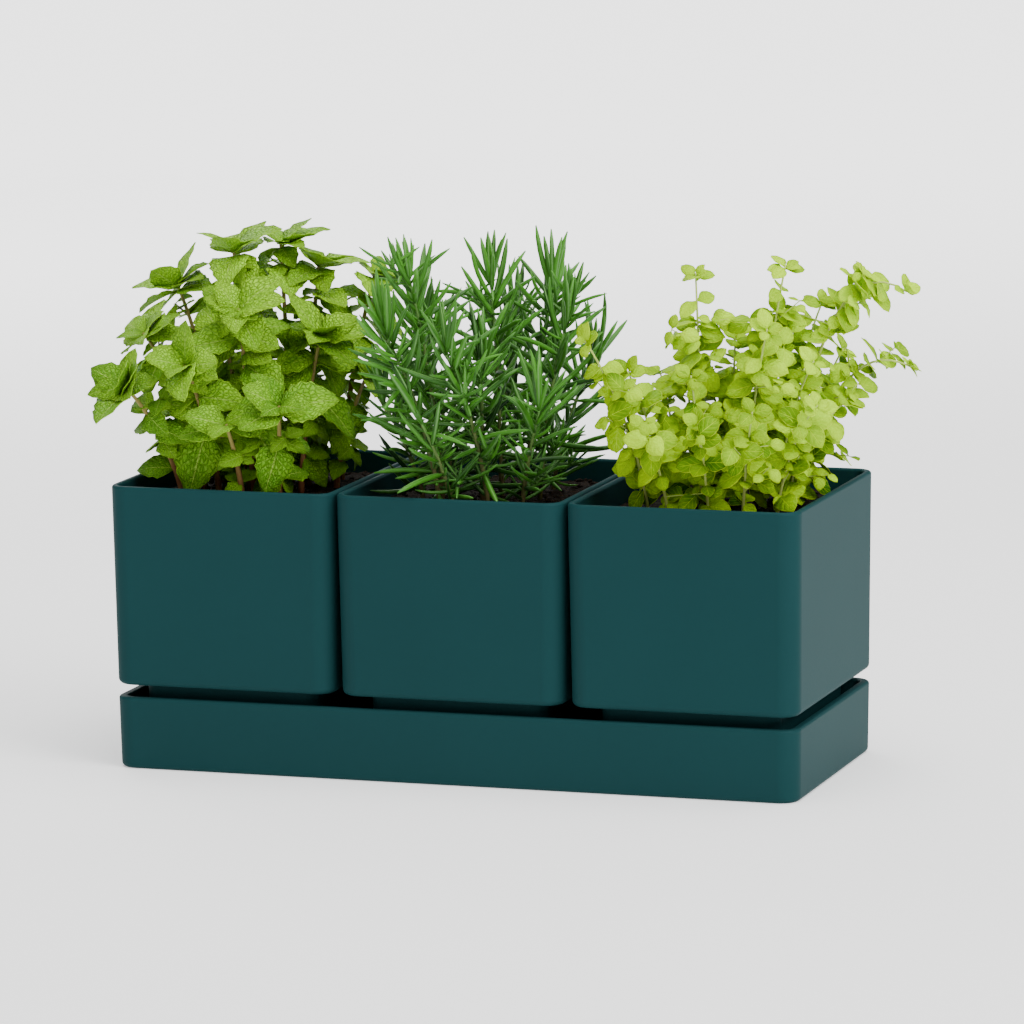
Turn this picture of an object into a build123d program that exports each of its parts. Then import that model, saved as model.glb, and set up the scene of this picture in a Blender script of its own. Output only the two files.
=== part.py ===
from build123d import *
import math
import os
import random

import numpy

# Indoor herb planter: one long tray, three pots on recessed feet, potting soil and growing herbs.
# Millimetres, +Z up, +X along the tray, -Y to the front.
# The origin is the centre of the tray's underside.

# Pots
pot_names = ("left", "middle", "right")
pot_width = 120.0
pot_depth = 150.0
pot_body_height = 102.5
pot_wall = 3.6
pot_floor = 3.0
pot_corner_radius = 10.0
pot_draft = 1.1
pot_lower_edge_radius = 3.0
pot_gap = 1.4
rim_round_share = 0.4

# Recessed foot of each pot, with its drain holes
foot_recess = 12.0
foot_corner_radius = 8.0
foot_draft = 1.0
drain_hole_radius = 4.0
drain_row_count = 2
drain_column_count = 2

# Tray, with the ribs that the pots stand on
tray_height = 37.0
tray_wall = 5.0
tray_floor = 3.0
tray_corner_radius = 10.0
tray_draft = 0.6
tray_lower_edge_radius = 2.5
tray_rim_round_share = 0.3
rib_count = 3
rib_height = 2.0
rib_width = 4.0
rib_length_share = 0.9
rib_sink_share = 0.5
shadow_gap = 6.1
stand_clearance = 0.3

# Potting soil
soil_drop = 12.0
soil_rise = 3.0
soil_slope = 10.0
soil_clearance = 0.3
planting_depth = 12.0
planting_clearance = 0.3
watering_strip = 10.0

# Room that growing things leave around themselves
leaf_clearance = 0.3
slab_clearance = 1.0
stem_step_count = 5
stem_spread_share = 0.3
shorten_shares = (1.0, 0.85, 0.7, 0.55)
heading_spread_degrees = 14.0
length_spread_shares = (0.85, 1.12)
parallel_limit = 0.05

# Mint
mint_height = 114.0
mint_stem_width = 3.4
mint_stem_tip_width = 1.6
mint_leaf_length = 33.0
# Each stem: root across, root back, tip across, tip back, tip height, height of the bend
mint_stem_shares = (
    (-0.62, -0.20, -1.02, -0.22, 0.62, 0.66),
    (-0.60, 0.22, -0.92, 0.24, 0.80, 0.62),
    (-0.18, 0.16, -0.40, 0.24, 0.97, 0.60),
    (0.05, -0.42, -0.06, -0.40, 0.76, 0.60),
    (0.12, 0.44, -0.06, 0.44, 1.00, 0.60),
    (0.38, 0.30, 0.28, 0.46, 0.90, 0.60),
    (0.62, 0.66, 0.68, 0.72, 0.84, 0.60),
    (0.48, -0.12, 0.50, 0.00, 0.62, 0.60),
    (-0.28, -0.58, -0.44, -0.64, 0.52, 0.60),
    (0.46, -0.62, 0.44, -0.72, 0.36, 0.55),
    (-0.68, -0.66, -0.94, -0.72, 0.42, 0.60),
    (0.76, 0.20, 0.78, 0.30, 0.42, 0.55),
    (0.10, -0.80, 0.02, -0.84, 0.28, 0.55),
    (-0.62, 0.60, -0.80, 0.66, 0.54, 0.60),
    (-0.10, -0.20, -0.30, -0.20, 0.62, 0.60),
)

# Rosemary
rosemary_height = 118.0
rosemary_stem_width = 2.6
rosemary_stem_tip_width = 1.3
rosemary_leaf_length = 31.0
rosemary_stem_shares = (
    (-0.36, -0.44, -0.54, -0.42, 0.89, 0.60),
    (-0.30, -0.66, -0.66, -0.64, 0.66, 0.60),
    (0.22, -0.56, -0.10, -0.72, 0.60, 0.60),
    (0.12, 0.08, -0.04, 0.12, 0.83, 0.60),
    (0.30, 0.32, 0.42, 0.36, 0.79, 0.60),
    (0.52, 0.56, 0.62, 0.74, 0.46, 0.55),
    (0.56, 0.08, 0.62, 0.12, 0.66, 0.60),
    (-0.08, 0.52, -0.10, 0.74, 0.58, 0.60),
    (-0.48, 0.20, -0.74, 0.28, 0.56, 0.60),
    (-0.66, -0.28, -0.84, -0.30, 0.34, 0.50),
    (0.04, -0.30, 0.06, -0.34, 0.52, 0.60),
    (0.56, -0.44, 0.66, -0.56, 0.36, 0.50),
    (-0.10, -0.78, -0.30, -0.84, 0.34, 0.50),
)

# Oregano
oregano_height = 114.0
oregano_stem_width = 1.8
oregano_stem_tip_width = 0.9
oregano_leaf_length = 17.0
oregano_stem_shares = (
    (-0.14, -0.14, -0.14, -0.20, 0.96, 0.60),
    (0.42, 0.04, 0.56, 0.02, 0.99, 0.60),
    (0.68, 0.34, 1.50, 0.32, 0.86, 1.26),
    (0.78, 0.60, 1.44, 0.62, 0.50, 1.30),
    (-0.58, -0.60, -0.88, -0.78, 0.70, 0.60),
    (-0.40, -0.52, -0.56, -0.66, 0.56, 0.60),
    (0.12, 0.06, 0.12, 0.02, 0.66, 0.60),
    (0.40, -0.30, 0.54, -0.38, 0.74, 0.60),
    (0.56, 0.30, 0.76, 0.34, 0.80, 0.60),
    (0.80, 0.06, 1.06, 0.12, 0.40, 0.70),
    (-0.30, -0.76, -0.36, -0.84, 0.34, 0.55),
    (0.14, -0.72, 0.12, -0.86, 0.36, 0.55),
    (0.52, -0.70, 0.58, -0.86, 0.42, 0.55),
    (0.78, -0.34, 1.00, -0.48, 0.42, 0.70),
    (0.62, 0.68, 0.80, 0.76, 0.56, 0.60),
    (-0.56, 0.34, -0.70, 0.44, 0.46, 0.60),
    (-0.34, 0.14, -0.40, 0.22, 0.64, 0.60),
    (-0.02, -0.48, -0.06, -0.54, 0.54, 0.60),
    (0.30, 0.42, 0.36, 0.48, 0.68, 0.60),
    (0.00, 0.46, -0.06, 0.58, 0.52, 0.60),
    (0.66, -0.06, 0.84, -0.10, 0.58, 0.65),
)

# Sizes that follow
pot_pitch = pot_width + pot_gap
body_base_width = pot_width - 2 * pot_draft
body_base_depth = pot_depth - 2 * pot_draft
tray_length = 2 * pot_pitch + body_base_width
tray_depth = body_base_depth
foot_width = body_base_width - 2 * foot_recess
foot_depth = body_base_depth - 2 * foot_recess
foot_bottom = tray_floor + rib_height + stand_clearance
body_bottom = tray_height + shadow_gap
rim_top = body_bottom + pot_body_height
soil_edge = rim_top - soil_drop
soil_top = soil_edge + soil_rise
rib_pitch = foot_width / rib_count

# How each herb grows, in shares and degrees
mint = {
    "name": "mint",
    "pot": 0,
    "seed": 11,
    "height": mint_height,
    "stem_width": mint_stem_width,
    "stem_tip_width": mint_stem_tip_width,
    "stem_shares": mint_stem_shares,
    "leaf_length": mint_leaf_length,
    "nodes_per_height": 7.6,
    "leaves_per_node": 2,
    "turn_degrees": 90,
    "climb_share": 0,
    "first_leaf_share": 0.20,
    "last_leaf_share": 0.97,
    "length_shares": (0.80, 1.05, 0.85),
    "lift_degrees": (-15, -5, 32),
    "lift_spread_degrees": 14,
    "outward_share": 1.0,
    "hang_share": 0.60,
    "facing_shares": (0.10, -0.45),
    "turned_share": 0.40,
    "droop_share": 0.18,
    "leaf_width_share": 0.74,
    "outline_shares": ((0.32, 0.95), (0.60, 0.86)),
    "section_shares": ((1.0, 0.08), (-1.0, 0.08), (0.0, -0.10)),
}
rosemary = {
    "name": "rosemary",
    "pot": 1,
    "seed": 23,
    "height": rosemary_height,
    "stem_width": rosemary_stem_width,
    "stem_tip_width": rosemary_stem_tip_width,
    "stem_shares": rosemary_stem_shares,
    "leaf_length": rosemary_leaf_length,
    "nodes_per_height": 9.0,
    "leaves_per_node": 4,
    "turn_degrees": 47,
    "climb_share": 1,
    "first_leaf_share": 0.06,
    "last_leaf_share": 0.985,
    "length_shares": (0.90, 1.10, 0.95),
    "lift_degrees": (-4, 34, 58),
    "lift_spread_degrees": 18,
    "outward_share": 0.2,
    "hang_share": 0.0,
    "facing_shares": (0.0, -0.15),
    "turned_share": 0.3,
    "droop_share": -0.10,
    "leaf_width_share": 0.105,
    "outline_shares": ((0.50, 1.0),),
    "section_shares": ((1.0, 0.25), (-1.0, 0.25), (0.0, -0.75)),
}
oregano = {
    "name": "oregano",
    "pot": 2,
    "seed": 37,
    "height": oregano_height,
    "stem_width": oregano_stem_width,
    "stem_tip_width": oregano_stem_tip_width,
    "stem_shares": oregano_stem_shares,
    "leaf_length": oregano_leaf_length,
    "nodes_per_height": 8.6,
    "leaves_per_node": 2,
    "turn_degrees": 90,
    "climb_share": 0,
    "first_leaf_share": 0.14,
    "last_leaf_share": 0.98,
    "length_shares": (0.95, 1.05, 0.60),
    "lift_degrees": (-5, 5, 25),
    "lift_spread_degrees": 16,
    "outward_share": 1.1,
    "hang_share": 0.45,
    "facing_shares": (0.15, -0.60),
    "turned_share": 0.6,
    "droop_share": 0.06,
    "leaf_width_share": 0.72,
    "outline_shares": ((0.38, 1.0), (0.70, 0.80)),
    "section_shares": ((1.0, 0.08), (-1.0, 0.08), (0.0, -0.16)),
}


def pot_centre(index):
    """Distance of one pot's middle from the tray's middle"""
    return (index - (len(pot_names) - 1) / 2) * pot_pitch


def rounded_block(width, depth, radius, bottom, height, draft):
    """A block with rounded corners that widens by the draft on each side as it rises"""
    low = Plane.XY.offset(bottom) * RectangleRounded(width, depth, radius)
    high = Plane.XY.offset(bottom + height) * RectangleRounded(width + 2 * draft, depth + 2 * draft, radius)
    return loft([low, high], ruled=True)


def bottom_edges(block):
    """The edges that lie level at the bottom of a block"""
    return block.edges().group_by(Axis.Z)[0]


def top_edges(block):
    """The edges that lie level at the top of a block"""
    return block.edges().group_by(Axis.Z)[-1]


def make_tray():
    """An open tray whose wall leans out, with three ribs on its floor under each pot"""
    base_length = tray_length - 2 * tray_draft
    base_depth = tray_depth - 2 * tray_draft
    outside = rounded_block(base_length, base_depth, tray_corner_radius, 0, tray_height, tray_draft)
    outside = fillet(bottom_edges(outside), tray_lower_edge_radius)
    inside = rounded_block(
        base_length - 2 * tray_wall,
        base_depth - 2 * tray_wall,
        tray_corner_radius - tray_wall,
        tray_floor,
        tray_height - tray_floor,
        tray_draft,
    )
    tray = outside - inside
    tray = fillet(top_edges(tray), tray_rim_round_share * tray_wall)
    rib = Box(
        rib_width,
        rib_length_share * foot_depth,
        rib_height + rib_sink_share * tray_floor,
        align=(Align.CENTER, Align.CENTER, Align.MAX),
    )
    rib_top = tray_floor + rib_height
    for index in range(len(pot_names)):
        for place in range(rib_count):
            across = (place - (rib_count - 1) / 2) * rib_pitch
            tray += Pos(pot_centre(index) + across, 0, rib_top) * rib
    return tray


def make_pot():
    """A drafted pot, its lower edge rounded, that steps in to a narrower foot with drain holes"""
    body = rounded_block(
        body_base_width, body_base_depth, pot_corner_radius, body_bottom, pot_body_height, pot_draft
    )
    body = fillet(bottom_edges(body), pot_lower_edge_radius)
    foot_height = body_bottom + pot_floor - foot_bottom
    foot_base_width = foot_width - 2 * foot_draft
    foot_base_depth = foot_depth - 2 * foot_draft
    foot = rounded_block(
        foot_base_width, foot_base_depth, foot_corner_radius, foot_bottom, foot_height, foot_draft
    )
    body_room = rounded_block(
        body_base_width - 2 * pot_wall,
        body_base_depth - 2 * pot_wall,
        pot_corner_radius - pot_wall,
        body_bottom + pot_floor,
        pot_body_height - pot_floor,
        pot_draft,
    )
    foot_room = rounded_block(
        foot_base_width - 2 * pot_wall,
        foot_base_depth - 2 * pot_wall,
        foot_corner_radius - pot_wall,
        foot_bottom + pot_floor,
        foot_height - pot_floor,
        foot_draft,
    )
    pot = body + foot - body_room - foot_room
    pot = fillet(top_edges(pot), rim_round_share * pot_wall)
    row_pitch = foot_depth / (drain_row_count + 1)
    drain_hole = Cylinder(drain_hole_radius, 2 * pot_floor)
    for column in range(drain_column_count):
        for row in range(drain_row_count):
            across = (column - (drain_column_count - 1) / 2) * rib_pitch
            back = (row - (drain_row_count - 1) / 2) * row_pitch
            pot -= Pos(across, back, foot_bottom + pot_floor / 2) * drain_hole
    return pot


def make_soil(herb):
    """Soil that fills pot and foot, with a low flat mound and a planting hole for each stem"""
    margin = pot_wall + soil_clearance
    foot_height = body_bottom + pot_floor - foot_bottom
    soil = rounded_block(
        foot_width - 2 * foot_draft - 2 * margin,
        foot_depth - 2 * foot_draft - 2 * margin,
        foot_corner_radius - margin,
        foot_bottom + pot_floor + soil_clearance,
        foot_height - pot_floor,
        foot_draft,
    )
    bed_bottom = body_bottom + pot_floor + soil_clearance
    bed_height = soil_edge - bed_bottom
    bed_draft = pot_draft * bed_height / pot_body_height
    bed_radius = pot_corner_radius - margin
    bed_width = body_base_width - 2 * margin
    bed_depth = body_base_depth - 2 * margin
    soil += rounded_block(bed_width, bed_depth, bed_radius, bed_bottom, bed_height, bed_draft)
    mound_foot = Plane.XY.offset(soil_edge) * RectangleRounded(
        bed_width + 2 * bed_draft, bed_depth + 2 * bed_draft, bed_radius
    )
    mound_top = Plane.XY.offset(soil_top) * RectangleRounded(
        bed_width - 2 * soil_slope, bed_depth - 2 * soil_slope, bed_radius
    )
    soil += loft([mound_foot, mound_top], ruled=True)
    hole_width = herb["stem_width"] + 2 * planting_clearance
    hole_depth = planting_depth + planting_clearance
    hole = Box(hole_width, hole_width, 2 * hole_depth)
    for shares in herb["stem_shares"]:
        root = stem_root(shares)
        lean = stem_curve(herb, shares, 1) - root
        turn = math.degrees(math.atan2(lean[1], lean[0]))
        soil -= Pos(root[0], root[1], soil_top) * Rot(0, 0, turn) * hole
    return soil


def stem_root(shares):
    """Where a stem leaves the soil, from the pot's middle"""
    half_width = body_base_width / 2 - pot_wall - soil_slope
    half_depth = body_base_depth / 2 - pot_wall - soil_slope - watering_strip / 2
    return numpy.array((shares[0] * half_width, shares[1] * half_depth - watering_strip / 2, soil_top))


def stem_curve(herb, shares, share):
    """A point on the stem's curve: it rises straight from the soil and leans out to its tip"""
    root = stem_root(shares)
    tip_height = rim_top + shares[4] * herb["height"]
    tip = numpy.array((shares[2] * pot_width / 2, shares[3] * pot_depth / 2, tip_height))
    bend = root + numpy.array((stem_spread_share, stem_spread_share, shares[5])) * (tip - root)
    return (1 - share) ** 2 * root + 2 * share * (1 - share) * bend + share**2 * tip


def stem_point(herb, shares, share):
    """A point on the stem's straight steps, which follow its curve"""
    step = min(int(share * stem_step_count), stem_step_count - 1)
    low = stem_curve(herb, shares, step / stem_step_count)
    high = stem_curve(herb, shares, (step + 1) / stem_step_count)
    return low + (high - low) * (share * stem_step_count - step)


def unit(vector):
    """The vector at a length of one"""
    return vector / numpy.linalg.norm(vector)


def blend(three, share):
    """A smooth run through a low, a middle and a high value"""
    return three[0] * (1 - share) ** 2 + 2 * three[1] * share * (1 - share) + three[2] * share**2


class Clump:
    """The corners of one leaf or stem step, with the directions that shape it"""

    def __init__(self, corners, directions):
        self.corners = numpy.array(corners)
        self.directions = numpy.array(directions)
        self.low = self.corners.min(axis=0)
        self.high = self.corners.max(axis=0)


def stands_clear(first, second):
    """True when some direction parts the two clumps by the leaf clearance"""
    if numpy.any(first.low > second.high + leaf_clearance):
        return True
    if numpy.any(second.low > first.high + leaf_clearance):
        return True
    crossed = numpy.cross(first.directions[:, None, :], second.directions[None, :, :]).reshape(-1, 3)
    lengths = numpy.linalg.norm(crossed, axis=1)
    turned = lengths > parallel_limit
    crossed = crossed[turned] / lengths[turned, None]
    trials = numpy.vstack((first.directions, second.directions, crossed))
    one = first.corners @ trials.T
    two = second.corners @ trials.T
    gaps = numpy.maximum(one.min(axis=0) - two.max(axis=0), two.min(axis=0) - one.max(axis=0))
    return gaps.max() > leaf_clearance


def stem_rings(herb, shares):
    """Square rings of points along the stem, from its buried end to its tip"""
    root = stem_root(shares)
    centres = [root - numpy.array((0, 0, planting_depth))]
    centres += [stem_curve(herb, shares, step / stem_step_count) for step in range(stem_step_count + 1)]
    lean = centres[-1] - root
    side = unit(numpy.cross((0, 0, 1), (lean[0], lean[1], 0)))
    rings = []
    for step, centre in enumerate(centres):
        ahead = centres[min(step + 1, len(centres) - 1)]
        behind = centres[max(step - 1, 0)]
        along = unit(ahead - behind) if step > 1 else numpy.array((0.0, 0.0, 1.0))
        face = unit(numpy.cross(along, side))
        grown = max(step - 1, 0) / stem_step_count
        half = (herb["stem_width"] * (1 - grown) + herb["stem_tip_width"] * grown) / 2
        corners = ((1, 1), (-1, 1), (-1, -1), (1, -1))
        rings.append([centre + half * (a * side + b * face) for a, b in corners])
    return rings


def stem_clumps(rings):
    """One clump for each step of the stem"""
    clumps = []
    for low, high in zip(rings[:-1], rings[1:]):
        side = unit(low[0] - low[1])
        face = unit(low[1] - low[2])
        along = unit(sum(high) - sum(low))
        clumps.append(Clump(low + high, [side, face, along]))
    return clumps


def leaf_clump(herb, base, heading, lift, face, length):
    """A leaf as a base point, a few like sections and a tip, lifted from its face and drooping"""
    ahead = numpy.array((math.cos(heading), math.sin(heading), 0))
    level = unit(ahead - numpy.dot(ahead, face) * face)
    along = level * math.cos(lift) + face * math.sin(lift)
    side = unit(numpy.cross(along, face))
    face = numpy.cross(side, along)
    droop = herb["droop_share"] * length
    corners = [base]
    for share, width_share in herb["outline_shares"]:
        centre = base + along * length * share - face * droop * share**2
        half = herb["leaf_width_share"] * length * width_share / 2
        corners += [centre + half * (a * side + b * face) for a, b in herb["section_shares"]]
    corners.append(base + along * length - face * droop)
    return Clump(corners, [along, side, face])


def fits_pot(clump, index):
    """True when the clump stays in its pot's share of the width and out of soil, rim and strip"""
    limit = pot_pitch / 2 - slab_clearance
    if index > 0 and clump.low[0] < -limit:
        return False
    if index < len(pot_names) - 1 and clump.high[0] > limit:
        return False
    if clump.low[2] < soil_top + leaf_clearance:
        return False
    if clump.low[2] > rim_top + leaf_clearance:
        return True
    half_width = body_base_width / 2 - pot_wall - leaf_clearance
    half_depth = body_base_depth / 2 - pot_wall - leaf_clearance
    in_width = -half_width < clump.low[0] and clump.high[0] < half_width
    return in_width and -half_depth < clump.low[1] and clump.high[1] < half_depth - watering_strip


def leaf_places(herb, shares, numbers):
    """Base, heading, lift, facing direction and length of every leaf on one stem, lowest first"""
    count = max(2, round(herb["nodes_per_height"] * shares[4]))
    start = numbers.uniform(0, 360)
    places = []
    climb = herb["climb_share"]
    for node in range(count):
        for leaf in range(herb["leaves_per_node"]):
            step = (node + climb * leaf / herb["leaves_per_node"]) / (count - 1 + climb)
            share = herb["first_leaf_share"] + (herb["last_leaf_share"] - herb["first_leaf_share"]) * step
            turn = start + herb["turn_degrees"] * node + 360 * leaf / herb["leaves_per_node"]
            heading = math.radians(turn + numbers.uniform(-heading_spread_degrees, heading_spread_degrees))
            lift_spread = herb["lift_spread_degrees"]
            lift = math.radians(blend(herb["lift_degrees"], step) + numbers.uniform(-lift_spread, lift_spread))
            turned = [numbers.uniform(-herb["turned_share"], herb["turned_share"]) for _ in range(2)]
            length = herb["leaf_length"] * blend(herb["length_shares"], step)
            length *= numbers.uniform(*length_spread_shares)
            base = stem_point(herb, shares, share)
            own_way = numpy.array((math.cos(heading), math.sin(heading)))
            tilt = base[:2] / (pot_depth / 2) * herb["outward_share"] + own_way * herb["hang_share"]
            tilt = tilt + herb["facing_shares"] + turned
            face = unit(numpy.array((tilt[0], tilt[1], 1)))
            places.append((base, heading, lift, face, length))
    return places


def grow(herb):
    """Rings and leaves of every stem, where no leaf cuts a stem or leaf of another sprig"""
    numbers = random.Random(herb["seed"])
    rings = [stem_rings(herb, shares) for shares in herb["stem_shares"]]
    taken = [stem_clumps(ring) for ring in rings]
    leaves = []
    for number, shares in enumerate(herb["stem_shares"]):
        own = []
        for base, heading, lift, face, length in leaf_places(herb, shares, numbers):
            for shorter in shorten_shares:
                clump = leaf_clump(herb, base, heading, lift, face, length * shorter)
                if not fits_pot(clump, herb["pot"]):
                    continue
                others = [other for place in range(len(taken)) if place != number for other in taken[place]]
                if all(stands_clear(clump, other) for other in others):
                    own.append(clump)
                    break
        leaves.append(own)
        taken[number] = taken[number] + own
    return rings, leaves


def closed_solid(corners, faces):
    """A solid bounded by flat faces, each given by the places of its corners"""
    outlines = [Wire.make_polygon([Vector(*corners[place]) for place in face], close=True) for face in faces]
    return Solid(Shell([Face(outline) for outline in outlines]))


def make_stem(rings):
    """The tapering square stem"""
    corners = [corner for ring in rings for corner in ring]
    faces = [(3, 2, 1, 0)]
    for step in range(len(rings) - 1):
        for side in range(4):
            low = 4 * step + side
            low_next = 4 * step + (side + 1) % 4
            faces.append((low, low_next, low_next + 4))
            faces.append((low, low_next + 4, low + 4))
    last = len(corners) - 4
    faces.append((last, last + 1, last + 2, last + 3))
    return closed_solid(corners, faces)


def make_leaf(herb, clump):
    """One leaf: flat faces from the base point over its sections to the tip"""
    around = len(herb["section_shares"])
    section_count = len(herb["outline_shares"])
    tip = 1 + around * section_count
    faces = []
    for place in range(around):
        after = (place + 1) % around
        faces.append((0, 1 + after, 1 + place))
        for section in range(section_count - 1):
            low = 1 + around * section
            faces.append((low + place, low + after, low + around + after, low + around + place))
        last = 1 + around * (section_count - 1)
        faces.append((last + place, last + after, tip))
    return closed_solid(clump.corners, faces)


def make_sprigs(herb):
    """Every sprig of one herb: a stem and its leaves as one solid, in its pot's place"""
    rings, leaves = grow(herb)
    sprigs = {}
    for number, ring in enumerate(rings):
        solids = [make_leaf(herb, clump) for clump in leaves[number]]
        sprig = make_stem(ring).fuse(*solids)
        sprigs[f"{herb['name']}_sprig_{number + 1}"] = sprig
    wanted = sum(len(leaf_places(herb, shares, random.Random(0))) for shares in herb["stem_shares"])
    print(herb["name"], "leaves", sum(len(own) for own in leaves), "of", wanted)
    return sprigs


def main():
    """Build every piece and write it to its own file"""
    os.makedirs("parts", exist_ok=True)
    pieces = {"tray": make_tray()}
    pot = make_pot()
    for index, herb in enumerate((mint, rosemary, oregano)):
        place = Pos(pot_centre(index), 0, 0)
        name = pot_names[index]
        pieces[f"pot_{name}"] = place * pot
        pieces[f"soil_{name}"] = place * make_soil(herb)
        for node, sprig in make_sprigs(herb).items():
            pieces[node] = place * sprig
    for node, piece in pieces.items():
        export_step(piece, f"parts/{node}.step")
    print(len(pieces), "pieces")


main()
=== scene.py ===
import math
import random

import bmesh
import bpy
import numpy
from mathutils import Matrix, Vector, noise


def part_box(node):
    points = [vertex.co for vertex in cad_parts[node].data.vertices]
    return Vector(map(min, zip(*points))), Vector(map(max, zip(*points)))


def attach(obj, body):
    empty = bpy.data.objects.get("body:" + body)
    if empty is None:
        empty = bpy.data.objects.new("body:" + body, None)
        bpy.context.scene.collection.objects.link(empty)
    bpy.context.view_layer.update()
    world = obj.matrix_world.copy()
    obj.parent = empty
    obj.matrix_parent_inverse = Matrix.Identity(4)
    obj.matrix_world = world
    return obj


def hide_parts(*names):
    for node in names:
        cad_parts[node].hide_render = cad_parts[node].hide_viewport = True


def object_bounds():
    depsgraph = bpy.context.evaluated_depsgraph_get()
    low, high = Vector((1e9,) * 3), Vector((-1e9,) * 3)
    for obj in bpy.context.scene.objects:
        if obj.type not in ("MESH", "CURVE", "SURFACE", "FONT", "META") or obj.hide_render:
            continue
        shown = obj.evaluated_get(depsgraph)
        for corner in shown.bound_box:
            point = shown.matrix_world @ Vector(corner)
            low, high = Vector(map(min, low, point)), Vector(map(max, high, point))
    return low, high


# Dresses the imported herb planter: plastic finish, crumbly soil and three leafy herbs.
# Metres, +Z up, +X along the tray, -Y to the front.

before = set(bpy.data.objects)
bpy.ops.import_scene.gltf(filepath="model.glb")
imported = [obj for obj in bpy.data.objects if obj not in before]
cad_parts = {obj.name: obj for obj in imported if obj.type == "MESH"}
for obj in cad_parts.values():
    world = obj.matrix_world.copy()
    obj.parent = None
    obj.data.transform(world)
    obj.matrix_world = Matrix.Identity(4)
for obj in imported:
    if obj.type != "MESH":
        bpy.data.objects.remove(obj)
cadLow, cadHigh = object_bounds()
potSides = ("left", "middle", "right")
print("frame loaded:", len(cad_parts), "nodes")


# Shader maths: a value from a node that Python's operators can work on
class Value:
    def __init__(self, finish, socket):
        self.finish = finish
        self.socket = socket

    def sum(self, operation, first, second):
        return self.finish.node("ShaderNodeMath", {"operation": operation}, {0: first, 1: second})

    def __add__(self, other):
        return self.sum("ADD", self, other)

    def __radd__(self, other):
        return self.sum("ADD", other, self)

    def __sub__(self, other):
        return self.sum("SUBTRACT", self, other)

    def __rsub__(self, other):
        return self.sum("SUBTRACT", other, self)

    def __mul__(self, other):
        return self.sum("MULTIPLY", self, other)

    def __rmul__(self, other):
        return self.sum("MULTIPLY", other, self)

    def __abs__(self):
        return self.sum("ABSOLUTE", self, 0.0)

    def between(self, low, high):
        settings = {"interpolation_type": "SMOOTHSTEP"}
        inputs = {"Value": self, "From Min": low, "From Max": high}
        return self.finish.node("ShaderNodeMapRange", settings, inputs)


# One material: its nodes are made by one method
class Finish:
    def __init__(self, name):
        self.material = bpy.data.materials.new(name)
        self.material.use_nodes = True
        self.tree = self.material.node_tree
        self.shader = self.tree.nodes["Principled BSDF"]

    def node(self, kind, settings=None, inputs=None, output=0):
        made = self.tree.nodes.new(kind)
        for key, value in (settings or {}).items():
            setattr(made, key, value)
        for key, value in (inputs or {}).items():
            self.feed(made.inputs[key], value)
        return Value(self, made.outputs[output])

    def feed(self, socket, value):
        if isinstance(value, Value):
            self.tree.links.new(value.socket, socket)
        elif socket.type == "RGBA":
            socket.default_value = (*value, 1.0)
        else:
            socket.default_value = value

    def mix(self, share, first, second):
        settings = {"data_type": "RGBA"}
        return self.node("ShaderNodeMix", settings, {0: share, 6: first, 7: second}, output=2)

    def noise(self, scale, detail):
        place = self.node("ShaderNodeTexCoord", output=3)
        inputs = {"Vector": place, "Scale": scale, "Detail": detail}
        return self.node("ShaderNodeTexNoise", None, inputs)

    def bump(self, height, strength, distance):
        inputs = {"Height": height, "Strength": strength, "Distance": distance}
        return self.node("ShaderNodeBump", None, inputs)

    def set(self, **inputs):
        for key, value in inputs.items():
            self.feed(self.shader.inputs[key.replace("_", " ")], value)
        return self.material


# Camera, placed where the photograph was taken from
camera = {
    "place": (0.98679, -2.94672, 0.62909),
    "turnDegrees": 18.335,
    "tiltDegrees": 9.167,
    "rollDegrees": -0.688,
    "lensMillimetres": 217.4,
    "sensorMillimetres": 36.0,
    "farthest": 50.0,
}


def makeCamera(sizes):
    data = bpy.data.cameras.new("camera")
    data.lens = sizes["lensMillimetres"]
    data.sensor_width = sizes["sensorMillimetres"]
    data.clip_end = sizes["farthest"]
    made = bpy.data.objects.new("camera", data)
    turn = Matrix.Rotation(math.radians(sizes["turnDegrees"]), 4, "Z")
    tilt = Matrix.Rotation(math.radians(90 - sizes["tiltDegrees"]), 4, "X")
    roll = Matrix.Rotation(math.radians(sizes["rollDegrees"]), 4, "Z")
    made.matrix_world = Matrix.Translation(sizes["place"]) @ turn @ tilt @ roll
    bpy.context.scene.collection.objects.link(made)
    bpy.context.scene.camera = made


# Studio: pale floor that glows more strongly away from the planter, soft lights
studio = {
    "floorSize": 60.0,
    "floorColour": (0.86, 0.86, 0.86),
    "floorRoughness": 0.9,
    "glowNear": (0.22, 0.22, 0.22),
    "glowFar": (1.0, 1.0, 1.0),
    "glowStrength": 2.0,
    "glowFrom": 0.8,
    "glowTo": 3.2,
    "skyColour": (1.0, 1.0, 1.0),
    "skyStrength": 0.50,
}
lights = {
    "key": {"kind": "AREA", "place": (1.9, -0.9, 1.6), "size": 1.3, "power": 52.0},
    "front": {"kind": "AREA", "place": (-0.9, -2.4, 1.5), "size": 1.6, "power": 5.0},
    "back": {"kind": "AREA", "place": (-1.2, 1.7, 1.3), "size": 1.4, "power": 22.0},
    "top": {"kind": "AREA", "place": (0.1, 0.2, 2.2), "size": 1.4, "power": 22.0},
    "daylight": {"kind": "SUN", "place": (0.5, -0.7, 3.0), "size": 1.0, "power": 1.9},
}


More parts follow.
